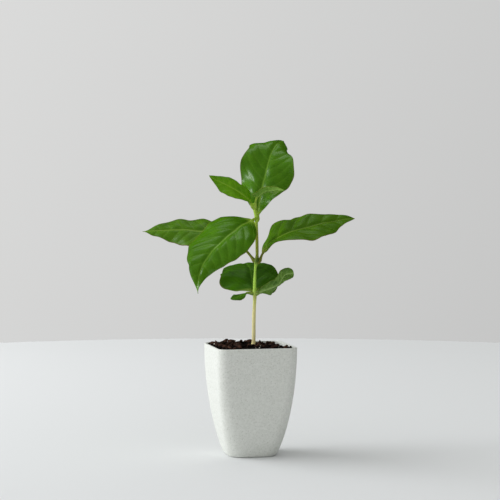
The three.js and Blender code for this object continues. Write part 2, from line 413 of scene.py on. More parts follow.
@dataclass(frozen=True, kw_only=True)
class Crumb(Finish):
    """Peat, bark or perlite as it breaks: two tones of one colour on rough, gritty faces."""

    dark: str
    light: str
    patch: float = 2.5
    grit: float = 0.5
    grit_depth: float = 0.2

    def draw(self, tree: bpy.types.NodeTree, shader: bpy.types.Node) -> None:
        """Mottle the two tones and break the faces up with grit.

        Args:
            tree: The material's node tree.
            shader: Its one shader.
        """
        place = add_node(tree, "TexCoord").outputs["Object"]
        patch = add_node(tree, "TexNoise", {
            "Vector": place, "Scale": per_metre(self.patch), "Detail": 4.0,
        })
        spread = add_node(tree, "MapRange", {
            "Value": patch.outputs["Fac"], "From Min": 0.35, "From Max": 0.65,
        })
        colour = add_node(tree, "MixRGB", {
            "Fac": spread.outputs[0], "Color1": linear(self.dark), "Color2": linear(self.light),
        })
        tree.links.new(colour.outputs["Color"], shader.inputs["Base Color"])
        grit = add_node(tree, "TexNoise", {
            "Vector": place, "Scale": per_metre(self.grit), "Detail": 3.0,
        })
        bump = add_node(tree, "Bump", {
            "Height": grit.outputs["Fac"], "Strength": 0.7, "Distance": self.grit_depth * MM,
        })
        tree.links.new(bump.outputs["Normal"], shader.inputs["Normal"])


@dataclass(frozen=True)
class YoungBark(Finish):
    """Young bark as it grows: straw brown and finely streaked at the foot, waxy green above.

    The mesh says how far up a point is, from 0 at the soil to 1 at the bud, and how near to a
    leaf node, with painted shade on the node's side away from the lamp. The real streaks are
    hair-thin, too fine to show, so they are drawn a third of a millimetre wide.
    """

    stages: tuple[tuple[float, str], ...] = (
        (0.00, "#dccb88"), (0.06, "#f2e9ab"), (0.24, "#ece39a"), (0.34, "#d2dc74"),
        (0.39, "#bcea58"), (0.56, "#b2e24c"), (0.62, "#8a962c"), (0.78, "#949f32"),
        (0.88, "#aed444"),
    )
    streak: str = "#8f7d4a"
    knot: str = "#2b4a00"
    streak_width: float = 0.35
    streak_stretch: float = 0.08
    streak_depth: float = 0.08

    def draw(self, tree: bpy.types.NodeTree, shader: bpy.types.Node) -> None:
        """Grade the colour up the stem, streak it lengthwise, darken the nodes and paint shade on
        one side.

        Args:
            tree: The material's node tree.
            shader: Its one shader.
        """
        age = add_node(tree, "Attribute", attribute_name="age").outputs["Fac"]
        ramp = add_node(tree, "ValToRGB", {"Fac": age})
        for place, colour in self.stages[1:-1]:
            ramp.color_ramp.elements.new(place).color = linear(colour)
        for end, (place, colour) in zip((0, -1), (self.stages[0], self.stages[-1])):
            ramp.color_ramp.elements[end].position = place
            ramp.color_ramp.elements[end].color = linear(colour)
        place = add_node(tree, "TexCoord").outputs["Object"]
        drawn_out = add_node(tree, "Mapping", {
            "Vector": place, "Scale": (1.0, 1.0, self.streak_stretch),
        })
        streaks = add_node(tree, "TexNoise", {
            "Vector": drawn_out.outputs[0], "Scale": per_metre(self.streak_width), "Detail": 3.0,
        })
        share = add_node(tree, "MapRange", {
            "Value": streaks.outputs["Fac"], "From Min": 0.45, "From Max": 0.75, "To Max": 0.35,
        })
        streaked = add_node(tree, "MixRGB", {
            "Fac": share.outputs[0], "Color1": ramp.outputs["Color"],
            "Color2": linear(self.streak),
        })
        # The knot layer holds the nodes' own dark bark and painted shade on their side away from
        # the lamp.
        knot = add_node(tree, "Attribute", attribute_name="knot").outputs["Fac"]
        colour = add_node(tree, "MixRGB", {
            "Fac": knot, "Color1": streaked.outputs["Color"], "Color2": linear(self.knot),
        })
        tree.links.new(colour.outputs["Color"], shader.inputs["Base Color"])
        bump = add_node(tree, "Bump", {
            "Height": streaks.outputs["Fac"], "Strength": 0.35,
            "Distance": self.streak_depth * MM,
        })
        tree.links.new(bump.outputs["Normal"], shader.inputs["Normal"])


@dataclass(frozen=True, kw_only=True)
class LeafFace(Finish):
    """One face of a coffee leaf, read from the leaf's own plan and layers.

    Above, a wax film over deep green gives the eye soft window-like reflections, paler veins
    and a thin dry margin. Below, the green is paler and matt. The real net of fine veins is
    about half a millimetre wide, too fine to show, so it is drawn at more than a millimetre.
    """

    blade: str
    shade: str
    vein: str
    edge: str
    stalk: str
    wax: float = 0.0
    wax_roughness: float = 0.24
    tone_size: float = 9.0
    net_size: float = 1.3
    net_thread: float = 0.16
    net_strength: float = 0.1
    pore_size: float = 0.5
    pore_depth: float = 0.06

    def draw(self, tree: bpy.types.NodeTree, shader: bpy.types.Node) -> None:
        """Lay tone, vein net, veins, margin and stalk over each other, then wax the face.

        Args:
            tree: The material's node tree.
            shader: Its one shader.
        """
        plan = add_node(tree, "UVMap", uv_map="plan").outputs["UV"]
        layer = {
            name: add_node(tree, "Attribute", attribute_name=name).outputs["Fac"]
            for name in ("vein", "edge", "stalk")
        }
        tone = add_node(tree, "TexNoise", {
            "Vector": plan, "Scale": per_metre(self.tone_size), "Detail": 2.0,
        })
        spread = add_node(tree, "MapRange", {
            "Value": tone.outputs["Fac"], "From Min": 0.3, "From Max": 0.7,
        })
        net = add_node(tree, "TexVoronoi", {
            "Vector": plan, "Scale": per_metre(self.net_size),
        }, feature="DISTANCE_TO_EDGE")
        thread = add_node(tree, "MapRange", {
            "Value": net.outputs["Distance"], "From Min": 0.0, "From Max": self.net_thread,
            "To Min": self.net_strength, "To Max": 0.0,
        })
        colour = add_node(tree, "MixRGB", {
            "Fac": spread.outputs[0], "Color1": linear(self.blade), "Color2": linear(self.shade),
        }).outputs["Color"]
        for share, tint in (
            (thread.outputs[0], self.vein), (layer["vein"], self.vein),
            (layer["edge"], self.edge), (layer["stalk"], self.stalk),
        ):
            colour = add_node(tree, "MixRGB", {
                "Fac": share, "Color1": colour, "Color2": linear(tint),
            }).outputs["Color"]
        tree.links.new(colour, shader.inputs["Base Color"])
        shader.inputs["Coat Weight"].default_value = self.wax
        shader.inputs["Coat Roughness"].default_value = self.wax_roughness
        pores = add_node(tree, "TexNoise", {
            "Vector": plan, "Scale": per_metre(self.pore_size), "Detail": 2.0,
        })
        height = add_node(tree, "Math", {
            0: net.outputs["Distance"], 1: pores.outputs["Fac"],
        }, operation="ADD")
        bump = add_node(tree, "Bump", {
            "Height": height.outputs[0], "Strength": 0.12, "Distance": self.pore_depth * MM,
        })
        tree.links.new(bump.outputs["Normal"], shader.inputs["Normal"])


@dataclass(frozen=True)
class StudioPaint(Finish):
    """Dead matt pale paint on the floor that the pot stands on."""

    colour: str = "#d8dada"

    def draw(self, tree: bpy.types.NodeTree, shader: bpy.types.Node) -> None:
        """Give the shader one even colour."""
        shader.inputs["Base Color"].default_value = linear(self.colour)


POT_FINISH = MouldedFibre("moulded_fibre_composite", roughness=0.5, shine=0.35)
PEAT_FINISH = Crumb("moist_peat", 0.85, shine=0.15, dark="#060403", light="#100a07")
FIBRE_FINISH = Crumb("brown_peat_fibre", 0.9, shine=0.15, dark="#0e0704", light="#22130c")
BARK_CHIP_FINISH = Crumb("composted_bark_chip", 0.8, shine=0.2, dark="#23130c", light="#4c3124")
PERLITE_FINISH = Crumb("expanded_perlite", 0.9, shine=0.3, dark="#b9b09f", light="#e6e0d2")
STEM_FINISH = YoungBark("young_coffee_bark", roughness=0.45, shine=0.35)


class Age(Enum):
    """How old a leaf is, which sets its greens."""

    FIRST = "first"
    MATURE = "mature"
    FULL = "full"
    NEW = "new"


LEAF_FINISHES = {
    Age.FIRST: (
        LeafFace(
            "first_leaf_waxed_face", 0.5, shine=0.08, blade="#3e6e00", shade="#325e00",
            vein="#5c8a20", edge="#5d6a1c", stalk="#8aa03e", wax=0.05,
        ),
        LeafFace(
            "first_leaf_matt_back", 0.5, shine=0.2, blade="#749e3a", shade="#4c7622",
            vein="#a4c674", edge="#5c5c30", stalk="#7e9a48",
        ),
    ),
    Age.MATURE: (
        LeafFace(
            "mature_leaf_waxed_face", 0.42, shine=0.12, blade="#4d7a00", shade="#3f6c00",
            vein="#7a9c34", edge="#6a5f20", stalk="#7a8030", wax=0.08,
        ),
        LeafFace(
            "mature_leaf_matt_back", 0.6, shine=0.2, blade="#668c38", shade="#5a7d30",
            vein="#8faa58", edge="#716830", stalk="#8a8540",
        ),
    ),
    Age.FULL: (
        LeafFace(
            "full_leaf_waxed_face", 0.34, shine=0.14, blade="#487a00", shade="#3e7000",
            vein="#729e2c", edge="#5c6a18", stalk="#9cbc3c", wax=0.3,
        ),
        LeafFace(
            "full_leaf_matt_back", 0.6, shine=0.2, blade="#6a9138", shade="#5d8230",
            vein="#8fae58", edge="#6b7030", stalk="#8fa840",
        ),
    ),
    Age.NEW: (
        LeafFace(
            "new_leaf_waxed_face", 0.3, shine=0.16, blade="#659f00", shade="#518a00",
            vein="#88b530", edge="#6d7a18", stalk="#a6cc40", wax=0.3,
        ),
        LeafFace(
            "new_leaf_back", 0.5, shine=0.25, blade="#76a23a", shade="#699632",
            vein="#98bd60", edge="#78803a", stalk="#9cba46",
        ),
    ),
}


# The pot and what fills it


@dataclass(frozen=True)
class Pot:
    """A rounded square that swells from a narrow foot to a nearly straight mouth."""

    height: float = 77.5
    mouth: float = 57.5
    foot: float = 34.4
    swell: float = 0.82
    corner: float = 7.5
    foot_corner: float = 11.5
    wall: float = 1.8
    floor: float = 3.0
    lip_round: float = 0.6
    foot_round: float = 0.8
    levels: int = 60
    corner_steps: int = 14
    side_steps: int = 8
    round_steps: int = 5

    def side(self, z: np.ndarray) -> np.ndarray:
        """The outer width at height z: foot to mouth by (1 - down squared) to the swell."""
        down = 1 - z / self.height
        return self.foot + (self.mouth - self.foot) * (1 - down**2) ** self.swell

    def ring(self, z: float, inset: float) -> np.ndarray:
        """The outline at one height.

        Each quarter is an arc of the corner's radius, which grows from the mouth to the foot
        as down squared, and then the straight to the next arc.

        Args:
            z: The height.
            inset: How far the outline is moved in from the outer wall.

        Returns:
            The outline's points, anticlockwise from the +X wall.
        """
        bend = self.corner + (self.foot_corner - self.corner) * (1 - z / self.height) ** 2
        corner = bend - inset
        reach = self.side(z) / 2 - bend
        angle = np.linspace(0, np.pi / 2, self.corner_steps + 1)
        arc = np.stack([reach + corner * np.cos(angle), reach + corner * np.sin(angle)], -1)
        share = np.linspace(0, 1, self.side_steps + 1)[1:-1, None]
        straight = arc[-1] * (1 - share) + arc[-1] * np.array([-1, 1]) * share
        quarter = np.concatenate([arc, straight])
        turn = np.array([[0, 1], [-1, 0]])
        flat = np.concatenate([quarter @ np.linalg.matrix_power(turn, k) for k in range(4)])
        return np.column_stack([flat, np.full(len(flat), z)])

    def skin(self) -> Skin:
        """The whole pot: up the outside, over the rounded lip and down the inside.

        Foot and lip are quarter rounds, with height and inset from a sine and a cosine.

        Returns:
            The pot as one closed skin.
        """
        arc = np.linspace(0, np.pi / 2, self.round_steps + 1)
        foot = [
            (self.foot_round * (1 - np.cos(a)), self.foot_round * (1 - np.sin(a))) for a in arc
        ]
        top = self.height - self.lip_round
        rise = np.linspace(self.foot_round, top, self.levels)
        over = [
            (top + self.lip_round * np.sin(a), self.lip_round * (1 - np.cos(a))) for a in arc
        ]
        back = [(z, self.wall - inset) for z, inset in reversed(over)]
        inside = [(z, self.wall) for z in np.linspace(top, self.floor, self.levels)]
        section = [*foot, *((z, 0.0) for z in rise[1:]), *over[1:], *back, *inside[1:]]
        return loft(np.stack([self.ring(z, inset) for z, inset in section]))

    def dress(self) -> bpy.types.Object:
        """Build the pot and stand it in for its CAD solid."""
        return self.skin().to_piece("pot_body", [POT_FINISH], "pot_composite", ["pot"])


@dataclass(frozen=True)
class CrumbKind:
    """One kind of loose grain that lies in the mix, and how it is shared out.

    stretch is its length over its width, lift how far its middle stands out of the ground as
    a share of its size, and reach how much of the mix's half width the grains are spread over.
    """

    name: str
    finishes: tuple[Crumb, ...]
    count: int
    smallest: float
    largest: float
    stretch: float
    lift: float
    seed: int
    reach: float = 0.94


CRUMB_KINDS = (
    CrumbKind("peat_crumbs", (PEAT_FINISH, FIBRE_FINISH), 2600, 0.5, 2.2, 1.3, 0.25, 3),
    CrumbKind("bark_chips", (BARK_CHIP_FINISH,), 60, 2.2, 4.2, 2.1, 0.35, 2503, 0.92),
    CrumbKind("perlite_grains", (PERLITE_FINISH,), 26, 1.0, 2.1, 1.1, 0.4, 483, 0.9),
)


@dataclass(frozen=True)
class PottingMix:
    """Moist peat and bark that fills the pot to its lip, with crumbs lying loose on top.

    fine is the height of the small lumps as a share of the large ones', squareness and
    settling are powers, and what starts with grain is shared by all loose grains.
    """

    pot: Pot
    level: float = 77.0
    edge: float = 76.5
    gap: float = 0.3
    shoulder: float = 3.5
    squareness: int = 6
    settling: int = 4
    heap: float = 0.5
    lump: float = 0.45
    lump_size: float = 7.0
    fine: float = 0.4
    fine_size: float = 1.75
    lump_seeds: tuple[int, int] = (5, 6)
    side_rings: int = 12
    rings: int = 70
    last_ring: float = 0.02
    hollow: tuple[float, float] = (27.0, 10.0)
    hollow_depth: float = 4.0
    hollow_size: float = 16.0
    grain_rows: int = 3
    grain_sides: int = 6
    grain_twist: float = 0.7
    grain_scarcity: float = 1.8
    grain_shape: tuple[float, float] = (0.65, 1.0)
    grain_flatness: float = 0.8
    grain_roughness: tuple[float, float] = (0.75, 1.2)
    grain_tilt: float = 0.35

    @property
    def half(self) -> float:
        """Half the width of the mix at its top."""
        return float(self.pot.side(np.array(self.level))) / 2 - self.pot.wall - self.gap

    def height(self, x: np.ndarray, y: np.ndarray) -> np.ndarray:
        """The ground over a point: level in the middle, lower at the wall, lumpy between.

        How far out a point is comes from the sum of both sides' shares to the power of
        squareness. The ground drops by that to the power of settling, heaps up by half a
        sine between, and sinks by a bell round the hollow.

        Args:
            x: Places along the pot's X, in millimetres.
            y: Places along the pot's Y.

        Returns:
            The height of the mix there.
        """
        power, (seed, fine_seed) = self.squareness, self.lump_seeds
        out = (np.abs(x / self.half) ** power + np.abs(y / self.half) ** power) ** (1 / power)
        settled = self.level + (self.edge - self.level) * np.clip(out, 0, 1) ** self.settling
        lumps = wandering(x, y, self.lump_size, seed) * self.lump
        fine = wandering(x, y, self.fine_size, fine_seed) * self.lump * self.fine
        far = np.hypot(x - self.hollow[0], y - self.hollow[1])
        sunk = self.hollow_depth * bell(far, self.hollow_size)
        return settled + self.heap * np.sin(np.pi * np.clip(out, 0, 1)) + lumps + fine - sunk

    def ground(self) -> Skin:
        """The solid mix: the pot's inside moved in by the gap, under the lumpy ground.

        Returns:
            The mix as one closed skin, whose top is the rim's outline drawn in to the middle.
        """
        inset = self.pot.wall + self.gap
        levels = np.linspace(self.pot.floor + self.gap, self.edge - self.shoulder, self.side_rings)
        sides = np.stack([self.pot.ring(z, inset) for z in levels])
        rim = self.pot.ring(self.edge, inset)
        out = np.linspace(1, self.last_ring, self.rings)[:, None]
        x, y = rim[:, 0] * out, rim[:, 1] * out
        top = np.stack([x, y, self.height(x, y)], -1)
        return loft(np.concatenate([sides, top]))

    def grain(self) -> tuple[np.ndarray, np.ndarray, np.ndarray]:
        """One grain: a ball of radius 1 in few rows and sides, each row turned on the last.

        Returns:
            Its points, quads and triangles.
        """
        rows, sides = self.grain_rows, self.grain_sides
        up = np.linspace(0, np.pi, rows + 2)[1:-1, None]
        around = 2 * np.pi * np.arange(sides) / sides + up * self.grain_twist
        rings = np.stack([
            np.sin(up) * np.cos(around), np.sin(up) * np.sin(around), np.cos(up) + 0 * around,
        ], -1)
        ball = loft(rings)
        ball.points[-2:] = [[0, 0, 1], [0, 0, -1]]
        return ball.points, ball.quads, ball.triangles

    def crumbs(self, kind: CrumbKind) -> Skin:
        """Loose grains of one kind, each turned, stretched and roughened by a seeded draw.

        Sizes run from the smallest to the largest by an even draw to the power of scarcity,
        and each grain is turned by the matrix of a drawn unit quaternion.

        Args:
            kind: What the grains are and how they are shared out.

        Returns:
            All of them as one skin.
        """
        draw = np.random.default_rng(kind.seed)
        n = kind.count
        points, quads, triangles = self.grain()
        place = draw.uniform(-1, 1, (n, 2)) * self.half * kind.reach
        rise = draw.random(n) ** self.grain_scarcity
        size = kind.smallest * (kind.largest / kind.smallest) ** rise
        sides = np.array([kind.stretch, 1.0, self.grain_flatness])
        shape = draw.uniform(*self.grain_shape, (n, 3)) * sides
        rough = draw.uniform(*self.grain_roughness, (n, len(points), 1))
        spin = draw.normal(size=(n, 4)) * np.array([1.0, self.grain_tilt, self.grain_tilt, 1.0])
        w, i, j, k = (spin / np.linalg.norm(spin, axis=1, keepdims=True)).T
        turn = np.stack([
            np.stack([1 - 2 * (j * j + k * k), 2 * (i * j - k * w), 2 * (i * k + j * w)], -1),
            np.stack([2 * (i * j + k * w), 1 - 2 * (i * i + k * k), 2 * (j * k - i * w)], -1),
            np.stack([2 * (i * k - j * w), 2 * (j * k + i * w), 1 - 2 * (i * i + j * j)], -1),
        ], -2)
        body = points[None] * shape[:, None] * rough * size[:, None, None] / 2
        body = np.einsum("nij,npj->npi", turn, body)
        ground = self.height(place[:, 0], place[:, 1]) + kind.lift * size
        centre = np.column_stack([place, ground])
        start = np.arange(n)[:, None, None] * len(points)
        dealt = draw.integers(len(kind.finishes), size=n)
        return Skin(
            (body + centre[:, None]).reshape(-1, 3),
            (quads[None] + start).reshape(-1, 4),
            (triangles[None] + start).reshape(-1, 3),
            quad_finish=np.repeat(dealt, len(quads)),
            rounded=False,
        )

    def dress(self) -> None:
        """Build the mix and its loose grains."""
        self.ground().to_piece("potting_mix", [PEAT_FINISH], "potting_mix", ["soil"])
        for kind in CRUMB_KINDS:
            self.crumbs(kind).to_piece(kind.name, kind.finishes, "potting_mix")


# The plant


class Tier(Enum):
    """Where leaves leave the stem.

    The values are the stem's lean and height there, how far out the stalks start, and how
    dark the knot is.
    """

    FIRST = (3.4, 37.1, 2.4, 0.35)
    SECOND = (4.9, 60.5, 2.3, 1.0)
    THIRD = (4.65, 89.8, 2.1, 0.0)
    TOP = (3.15, 98.6, 1.8, 0.0)

    @property
    def lean(self) -> float:
        """The stem's lean along the plant's X at this tier."""
        return self.value[0]

    @property
    def height(self) -> float:
        """How high above the stem's foot the tier is."""
        return self.value[1]

    @property
    def reach(self) -> float:
        """How far from the stem's middle the solid stalks start."""
        return self.value[2]

    @property
    def knot(self) -> float:
        """How dark the bark is here, from 0 to 1."""
        return self.value[3]


@dataclass(frozen=True)
class Stem:
    """One slim stem with a root flare, three swollen leaf nodes and a pointed bud.

    Each station is a height above the foot with the stem's lean and radius there. The ridges
    run lengthwise, two broad ones and five narrow ones, and the scars lie below the leaves.
    """

    foot: float = 77.2
    stations: tuple[tuple[float, float, float], ...] = (
        (0, 2.6, 2.1), (2, 2.6, 1.5), (8, 2.65, 1.3), (20, 2.75, 1.25), (34, 3.35, 1.3),
        (37, 3.4, 1.55), (40, 3.3, 1.2), (47, 3.4, 1.05), (57.5, 4.1, 1.15), (60.4, 4.7, 1.85),
        (63.5, 5.0, 1.2), (68, 5.0, 1.15), (74, 4.9, 1.15), (87, 4.5, 1.15), (89.8, 4.4, 1.2),
        (92.5, 4.15, 1.2), (97.5, 3.2, 1.15), (99.5, 3.1, 0.8), (101.5, 3.1, 0.3),
    )
    steps: int = 360
    sides: int = 28
    ridge: float = 0.05
    ridge_counts: tuple[int, int] = (2, 5)
    ridge_shares: tuple[float, float] = (0.6, 0.4)
    ridge_twist: float = 25.0
    ridge_sway: float = 6.0
    scarred: tuple[Tier, ...] = (Tier.FIRST, Tier.SECOND)
    scar: float = 0.16
    scar_drop: float = 1.6
    scar_height: float = 0.35
    scar_lobes: int = 3
    scar_lobe: float = 0.3
    knot_length: float = 2.8
    # The even share is the nodes' own dark bark, the uneven share painted shade on their +X side.
    knot_darkness_and_shade: tuple[float, float] = (0.8, 0.2)

    def skin(self) -> Skin:
        """Rings up a smooth curve through the stations, ridged lengthwise and scarred at nodes.

        The radius is the stations' own, times 1 plus a few percent of cosines round the ring,
        plus a raised scar, a bell up the stem, below a tier of leaves. A knot's darkness is
        such a bell too, darker by a cosine on its +X side, away from the lamp, as painted shade.

        Returns:
            The stem as one closed skin, with its age and knot layers.
        """
        height, lean, radius = np.array(self.stations).T
        z = np.linspace(0, height[-1], self.steps)[:, None]
        middle = self.eased(z, height, lean)
        around = 2 * np.pi * np.arange(self.sides) / self.sides
        round_off = self.eased(z, height, radius)
        (few, many), (broad, narrow) = self.ridge_counts, self.ridge_shares
        ridges = np.cos(few * around + z / self.ridge_twist) * broad
        ridges = ridges + np.cos(many * around + np.sin(z / self.ridge_sway)) * narrow
        wide = round_off * (1 + self.ridge * ridges)
        knot = sum(tier.knot * bell(z - tier.height, self.knot_length) for tier in Tier)
        scars = sum(
            bell(z - tier.height + self.scar_drop, self.scar_height) for tier in self.scarred
        )
        wide = wide + self.scar * scars * (1 + self.scar_lobe * np.cos(self.scar_lobes * around))
        rings = np.stack([
            middle + wide * np.cos(around), wide * np.sin(around), self.foot + z + 0 * around,
        ], -1)
        skin = loft(turned(rings))
        skin.layers["age"] = with_ends(z / height[-1] + 0 * around)
        # The uneven share darkens each knot on its +X side, away from the lamp: painted shade.
        even, uneven = self.knot_darkness_and_shade
        skin.layers["knot"] = with_ends(knot * (even + uneven * np.cos(around)))
        return skin

    @staticmethod
    def eased(z: np.ndarray, known: np.ndarray, values: np.ndarray) -> np.ndarray:
        """Read values between their heights along a cubic with the mean slope at each.

        Args:
            z: Where to read.
            known: The heights that the values stand at.
            values: The values there.

        Returns:
            The value at each z.
        """
        slope = np.gradient(values, known)
        i = np.clip(np.searchsorted(known, z, side="right") - 1, 0, len(known) - 2)
        span = known[i + 1] - known[i]
        q = (z - known[i]) / span
        return cubic(q, values[i], values[i + 1], slope[i] * span, slope[i + 1] * span)

    def dress(self) -> bpy.types.Object:
        """Build the stem and stand it in for its CAD solid."""
        return self.skin().to_piece("stem_bark", [STEM_FINISH], "stem_bark", ["stem"])


@dataclass(frozen=True)
class Notch:
    """A dent in a leaf's outline, or a bulge where its depth is negative.

    left says which half, at and spread are shares of the blade's length, and depth is a share
    of the half width.
    """

    left: bool
    at: float
    depth: float
    spread: float


@dataclass(frozen=True)
class LeafForm:
    """What all leaves of this plant share.

    Sizes are millimetres. Places along the blade are shares of its length, places across it
    shares of its half width, and a pair of places is where something starts to show and
    where it shows in full. Names with fade say where it starts to go and is gone.
    """

    # The root inside the stem
    root_rows: int = 8
    root_back: float = 0.85
    root_sink: float = 0.8
    root_pull: float = 0.8
    # How finely the leaf is drawn
    midrib_steps: int = 601
    stalk_step: float = 0.6
    least_stalk_rows: int = 4
    least_blade_rows: int = 60
    grains_to_a_column: int = 3
    least_columns: int = 14
    # The stalk's swelling at the stem, and the rib that the stalk becomes
    swelling: float = 0.6
    swelling_length: float = 2.2
    rib_taper: float = 0.7
    rib_above: float = 0.6
    rib_below: float = 0.15
    rib_seat: float = 0.08
    # Side veins: how far they reach, how each half's row starts, and how they lean and bow
    vein_span: float = 0.9
    vein_starts: tuple[float, float] = (0.5, 0.68)
    vein_lean: float = 0.5
    vein_bow: float = 0.6
    first_vein: tuple[float, float] = (0.5, 1.0)
    last_vein: tuple[float, float] = (-0.2, 0.8)
    vein_shows: tuple[float, float] = (0.0, 0.05)
    vein_fades: tuple[float, float] = (0.72, 0.97)
    vein_width: float = 0.42
    vein_thinning: float = 0.2
    vein_relief: float = 0.16
    # The swellings between them
    quilt_power: float = 0.8
    quilt_shows: tuple[float, float] = (0.02, 0.22)
    quilt_fades: tuple[float, float] = (0.7, 1.0)
    quilt_loss: float = 0.8
    quilt_level: float = 0.4
    # The blade: where it starts, its creases, its unevenness and its thinning to the margin
    blade_shows: tuple[float, float] = (0.0, 0.05)
    crease_round: float = 0.002
    frill: float = 0.02
    crumple_size: float = 16.0
    valley: float = 0.35
    valley_width: float = 1.7
    thinnest: float = 0.05
    margin_thinning: float = 0.5
    # What the finishes read: the midrib's width, the side veins' share, the dry margin, the stalk
    midrib_width: float = 0.75
    midrib_thinning: float = 0.4
    midrib_paling: float = 0.35
    side_vein_share: float = 0.22
    dry_margin: tuple[float, float] = (0.95, 1.0)
    dry_tip: float = 0.97
    dry_tip_width: float = 0.03
    stalk_fades: tuple[float, float] = (0.0, 0.09)
    stalk_on_rib: float = 0.5
    stalk_on_rib_power: int = 6


@dataclass(frozen=True)
class Leaf:
    """One leaf: a stalk that swells into the stem, and a veined blade.

    Angles are degrees. heading turns from the plant's +X towards its +Y, pitch is above the
    horizontal and roll lifts the left half; each list runs evenly from the stalk to the tip.
    fold and cup bend the blade across, skew widens its left half, wave ripples its margins,
    quilt is how far it swells between its veins and crumple how uneven it is, in millimetres.
    """

    name: str
    tier: Tier
    age: Age
    stalk: float
    length: float
    width: float
    heading: tuple[float, ...]
    pitch: tuple[float, ...]
    roll: tuple[float, ...]
    fold: float
    cup: float
    skew: float
    taper: tuple[float, float]
    wave: float
    waves: float
    phase: tuple[float, float]
    seed: int
    laterals: int = 8
    quilt: float = 0.32
    crumple: float = 0.4
    notches: tuple[Notch, ...] = ()
    foot: float = Stem.foot
    stalk_radius: float = 0.78
    tip_radius: float = 0.16
    thickness: float = 0.34
    grain: float = 0.34
    form: LeafForm = LeafForm()

    def direction(self, t: np.ndarray) -> np.ndarray:
        """The way the midrib points: the unit vector of its pitch and heading.

        Args:
            t: Where to read it, from 0 at the stalk's start to 1 at the tip.

        Returns:
            The unit vector at each t.
        """
        pitch, heading = (np.radians(along(v, t)) for v in (self.pitch, self.heading))
        level = np.cos(pitch)
        return np.stack([level * np.cos(heading), level * np.sin(heading), np.sin(pitch)], -1)

    def midrib(self, t: np.ndarray) -> np.ndarray:
        """Points along stalk and midrib: the start plus the summed direction.

        Args:
            t: Where to read it, from 0 at the stalk's start to 1 at the tip.

        Returns:
            The point at each t.
        """
        fine = np.linspace(0, 1, self.form.midrib_steps)
        way = self.direction(fine)
        step = (self.stalk + self.length) / (len(fine) - 1)
        run = np.concatenate([np.zeros((1, 3)), np.cumsum((way[1:] + way[:-1]) / 2, 0)]) * step
        return self.start() + np.stack([np.interp(t, fine, run[:, k]) for k in range(3)], -1)

    def start(self) -> np.ndarray:
        """Where the solid stalk starts, just clear of the stem.

        Returns:
            The point.
        """
        out = math.radians(self.heading[0])
        reach = self.tier.reach
        return np.array([
            self.tier.lean + reach * math.cos(out), reach * math.sin(out),
            self.foot + self.tier.height,
        ])

    def spine(self) -> tuple[np.ndarray, ...]:
        """The rows of the leaf from inside the stem to the tip.

        The root is a cubic from the stem's middle to the start of the stalk, which leaves the
        stem level and meets the stalk in its own direction. The blade's rows crowd towards
        its two ends.

        Returns:
            Points, forward directions, headings, shares of the whole path, shares of the blade.
        """
        form = self.form
        whole = self.stalk + self.length
        q = np.linspace(0, 1, form.root_rows)[:-1, None]
        out = math.radians(self.heading[0])
        level = np.array([math.cos(out), math.sin(out), 0.0])
        end, end_way = self.start(), self.direction(np.zeros(1))[0] * self.tier.reach
        sink = np.array([0, 0, form.root_sink * end_way[2]])
        begin = end - level * self.tier.reach * form.root_back - sink
        root = cubic(q, begin, end, level * self.tier.reach * form.root_pull, end_way)
        root_way = np.gradient(np.concatenate([root, end[None]]), axis=0)[:-1]
        blade_rows = max(int(self.length / self.grain), form.least_blade_rows)
        blade = crowded(np.linspace(0, 1, blade_rows))
        stalk_rows = max(int(self.stalk / form.stalk_step), form.least_stalk_rows)
        stalk = np.linspace(0, self.stalk / whole, stalk_rows)[:-1]
        t = np.concatenate([stalk, (self.stalk + blade * self.length) / whole])
        share = np.concatenate([np.zeros(len(q) + len(stalk)), blade])
        points = np.concatenate([root, self.midrib(t)])
        way = np.concatenate([root_way, self.direction(t)])
        way /= np.linalg.norm(way, axis=1, keepdims=True)
        before = -np.linalg.norm(end - root, axis=1) / whole
        path = np.concatenate([before, t])
        heading = np.radians(along(self.heading, np.clip(path, 0, 1)))
        return points, way, heading, path, share

    def half_width(self, b: np.ndarray, v: np.ndarray) -> np.ndarray:
        """Half the blade's width.

        The outline is (b / w) to the base taper times ((1 - b) / (1 - w)) to the tip taper,
        which is widest at w, times what the notches leave.

        Args:
            b: How far along the blade, as a share of its length.
            v: How far across it, above 0 on the left half and below on the right.

        Returns:
            Half the width there, in millimetres.
        """
        base, tip = self.taper
        widest = base / (base + tip)
        b = np.clip(b, TINY, 1 - TINY)
        outline = (b / widest) ** base * ((1 - b) / (1 - widest)) ** tip
        for notch in self.notches:
            side = (v > 0) if notch.left else (v < 0)
            outline = outline * (1 - notch.depth * bell(b - notch.at, notch.spread) * side)
        return outline * self.width / 2

    def veins(self, far: np.ndarray, across: np.ndarray, v: np.ndarray) -> tuple[np.ndarray, ...]:
        """The side veins: how near a point is to one, and how far between two.

        A side vein leaves the midrib at about 60 degrees and bends towards the tip: its run
        along the blade is the lean times x, plus the bow times x squared over the half width,
        at x from the midrib. Between two veins the blade swells by a power of a sine.

        Args:
            far: How far along the blade a point is.
            across: How far across it is.
            v: The same as a share of the half width.

        Returns:
            The vein's strength from 0 to 1, and the swelling between veins from 0 to 1.
        """
        form, out = self.form, np.abs(v)
        x, half = np.abs(across), self.width / 2
        spacing = self.length * form.vein_span / self.laterals
        shift = np.where(v > 0, *form.vein_starts)
        turns = (far - form.vein_lean * x - form.vein_bow * x**2 / half) / spacing + shift
        slope = form.vein_lean + 2 * form.vein_bow * x / half
        distance = np.abs(turns - np.round(turns)) * spacing / np.sqrt(1 + slope**2)
        last, gone = (self.laterals + past for past in form.last_vein)
        ends = smooth(*form.first_vein, turns) * (1 - smooth(last, gone, turns))
        reach = smooth(*form.vein_shows, out) * (1 - smooth(*form.vein_fades, out))
        width = form.vein_width - form.vein_thinning * out
        swelling = np.abs(np.sin(np.pi * turns)) ** form.quilt_power
        between = smooth(*form.quilt_shows, out)
        between = between * (1 - form.quilt_loss * smooth(*form.quilt_fades, out))
        return bell(distance, width) * ends * reach, swelling * ends * between

